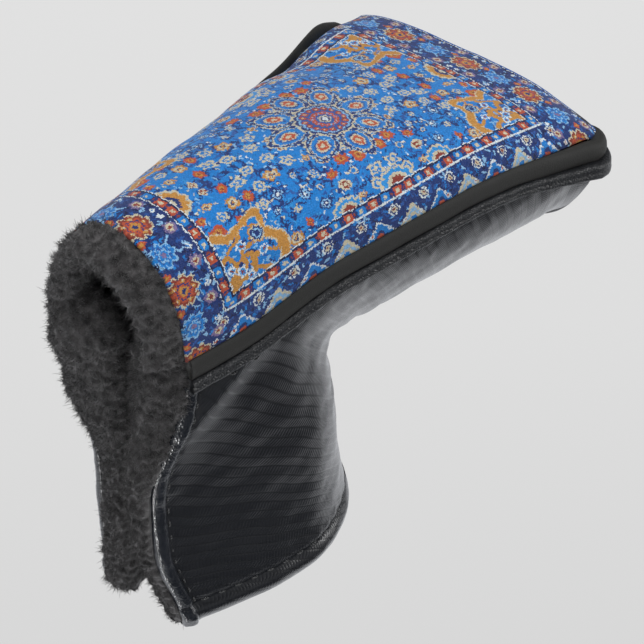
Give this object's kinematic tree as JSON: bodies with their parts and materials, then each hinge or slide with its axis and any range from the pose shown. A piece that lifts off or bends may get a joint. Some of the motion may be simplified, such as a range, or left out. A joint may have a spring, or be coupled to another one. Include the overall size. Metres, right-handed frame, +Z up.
{
  "type": "putter head cover",
  "caption": "L-shaped padded boot that closes round a blade putter's head and lets its shaft out through the neck, with two flaps that open along the heel side.",
  "frame": {"origin": "where the axis of the putter's shaft crosses the plane of the neck's hem", "axes": "+X from heel to toe, +Y to the back, +Z up along the shaft towards the putter's sole"},
  "size_m": [0.1446, 0.0802, 0.1178],
  "materials": {
    "printed_fabric": "woven cloth printed with a rug pattern",
    "thread": "twisted thread",
    "fleece": "deep curly fleece",
    "foam": "thin soft padding",
    "magnet": "plated",
    "lining_cloth": "plain weave tape",
    "trim_leather": "smooth matt",
    "smooth_leather": "smooth half gloss",
    "embossed_leather": "fine wavy knit emboss"
  },
  "bodies": {
    "cover_body": {"back_collar_fleece": "fleece", "back_hem_facing": "embossed_leather", "back_hem_stitches": "thread", "back_seam_tape": "lining_cloth", "back_side_fleece": "fleece", "back_side_foam": "foam", "back_side_panel": "embossed_leather", "back_trim_band": "trim_leather", "back_welt": "smooth_leather", "back_welt_stitches": "thread", "front_collar_fleece": "fleece", "front_hem_facing": "embossed_leather", "front_hem_stitches": "thread", "front_seam_tape": "lining_cloth", "front_side_fleece": "fleece", "front_side_foam": "foam", "front_side_panel": "embossed_leather", "front_trim_band": "trim_leather", "front_welt": "smooth_leather", "front_welt_stitches": "thread", "printed_top_panel": "printed_fabric", "toe_fleece": "fleece", "toe_foam": "foam", "toe_panel": "embossed_leather", "toe_trim_band": "trim_leather", "toe_welt": "smooth_leather", "top_fleece_lining": "fleece", "top_foam": "foam"},
    "front_flap": {"front_edge_binding": "smooth_leather", "front_flap_edge_stitches": "thread", "front_flap_fleece": "fleece", "front_flap_fleece_roll": "fleece", "front_flap_foam": "foam", "front_flap_hem_facing": "embossed_leather", "front_flap_hem_stitches": "thread", "front_flap_magnets": "magnet", "front_flap_panel": "embossed_leather"},
    "back_flap": {"back_edge_binding": "smooth_leather", "back_flap_edge_stitches": "thread", "back_flap_fleece": "fleece", "back_flap_fleece_roll": "fleece", "back_flap_foam": "foam", "back_flap_hem_facing": "embossed_leather", "back_flap_hem_stitches": "thread", "back_flap_magnets": "magnet", "back_flap_panel": "embossed_leather"}
  },
  "joints": [
    {"name": "front_flap_hinge", "type": "hinge", "parent": "cover_body", "child": "front_flap", "pos_m": [-0.0375, -0.0209, 0.075], "axis": [-0.565, 0.0614, 0.8228], "range_deg": [0, 35]},
    {"name": "back_flap_hinge", "type": "hinge", "parent": "cover_body", "child": "back_flap", "pos_m": [-0.0375, 0.0209, 0.075], "axis": [0.565, 0.0614, -0.8228], "range_deg": [0, 35]}
  ]
}
